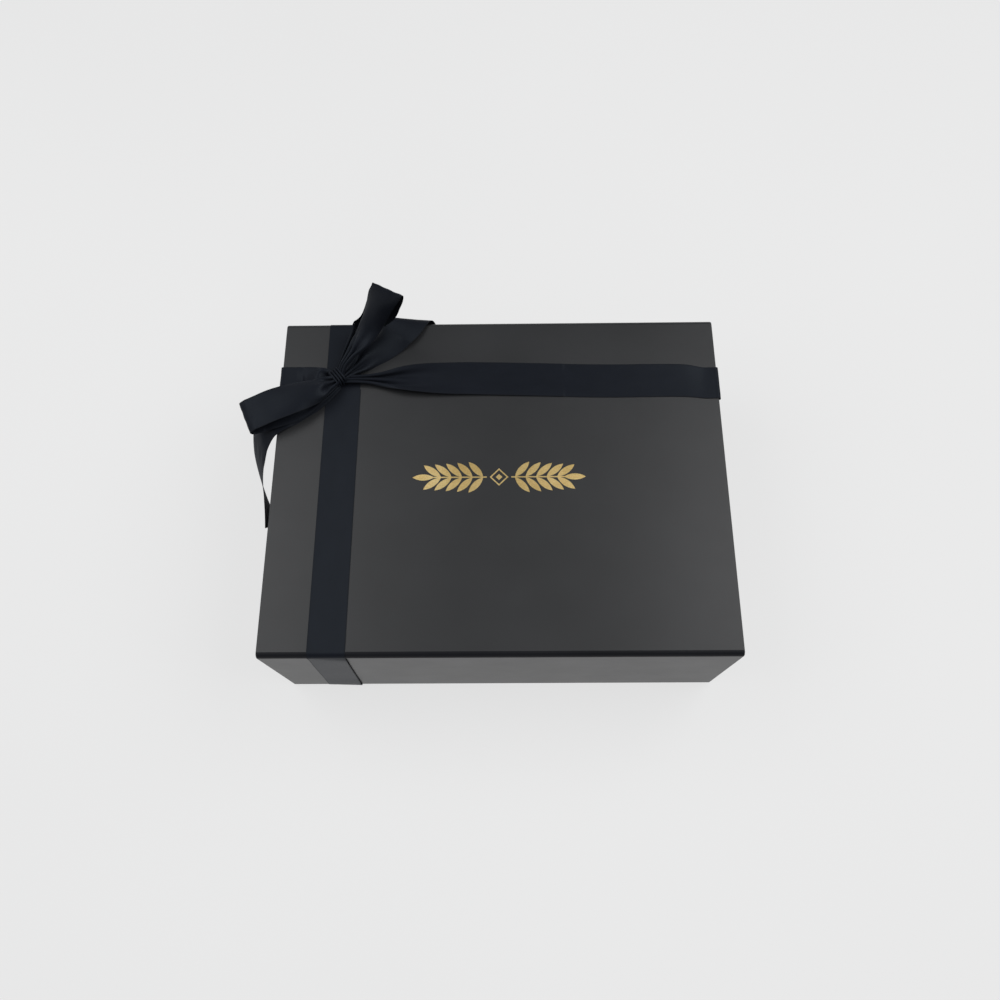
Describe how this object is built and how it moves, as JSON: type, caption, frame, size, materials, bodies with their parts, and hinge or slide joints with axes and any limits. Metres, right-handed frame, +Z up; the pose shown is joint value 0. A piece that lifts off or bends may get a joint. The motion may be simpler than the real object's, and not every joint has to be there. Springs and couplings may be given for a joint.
{
  "type": "gift box",
  "caption": "Rigid book-style gift box with a hinged lid, a magnetic front flap, a glued-in tray and a satin ribbon tied round it both ways in a bow.",
  "frame": {"origin": "on the ground, under the centre of the box's footprint", "axes": "+X to the right along the front flap, +Y from the front flap to the hinged back, +Z up"},
  "size_m": [0.3404, 0.2526, 0.1683],
  "materials": {
    "cover_paper": "matte",
    "liner_paper": "matte",
    "greyboard": "matte",
    "ribbon_satin": "satin",
    "gold_foil": "satin",
    "steel_disc": "satin",
    "magnet_nickel": "polished"
  },
  "bodies": {
    "tray": {"base_board": "greyboard", "spine_board": "greyboard", "base_cover_paper": "cover_paper", "tray_floor": "greyboard", "tray_front_wall": "greyboard", "tray_back_wall": "greyboard", "tray_left_wall": "greyboard", "tray_right_wall": "greyboard", "tray_wrap_paper": "cover_paper", "tray_wall_liner": "liner_paper", "tray_floor_liner": "liner_paper", "keeper_discs": "steel_disc", "ribbon_back": "ribbon_satin", "ribbon_base_lengthwise": "ribbon_satin", "ribbon_base_crosswise": "ribbon_satin", "ribbon_left_side": "ribbon_satin", "ribbon_right_side": "ribbon_satin", "rear_hinge_paper": "cover_paper", "ribbon_rear_bend": "ribbon_satin", "bow_right_tail_end": "ribbon_satin"},
    "lid": {"lid_board": "greyboard", "lid_cover_paper": "cover_paper", "lid_liner": "liner_paper", "foil_ornament": "gold_foil", "ribbon_lid_lengthwise": "ribbon_satin", "ribbon_lid_crosswise": "ribbon_satin", "bow_knot": "ribbon_satin", "bow_left_loop": "ribbon_satin", "bow_right_loop": "ribbon_satin", "bow_left_tail": "ribbon_satin", "bow_right_tail": "ribbon_satin", "front_hinge_paper": "cover_paper", "ribbon_front_bend": "ribbon_satin"},
    "flap": {"flap_board": "greyboard", "flap_cover_paper": "cover_paper", "flap_liner": "liner_paper", "flap_magnets": "magnet_nickel", "ribbon_flap": "ribbon_satin"}
  },
  "joints": [
    {"name": "lid_hinge", "type": "hinge", "parent": "tray", "child": "lid", "pos_m": [0, 0.12373, 0.10923], "axis": [-1, 0, 0], "range_deg": [0, 180], "deforming": ["rear_hinge_paper", "ribbon_rear_bend", "bow_right_tail_end"]},
    {"name": "flap_hinge", "type": "hinge", "parent": "lid", "child": "flap", "pos_m": [0, -0.12373, 0.10923], "axis": [-1, 0, 0], "range_deg": [0, 90], "deforming": ["front_hinge_paper", "ribbon_front_bend"]}
  ]
}
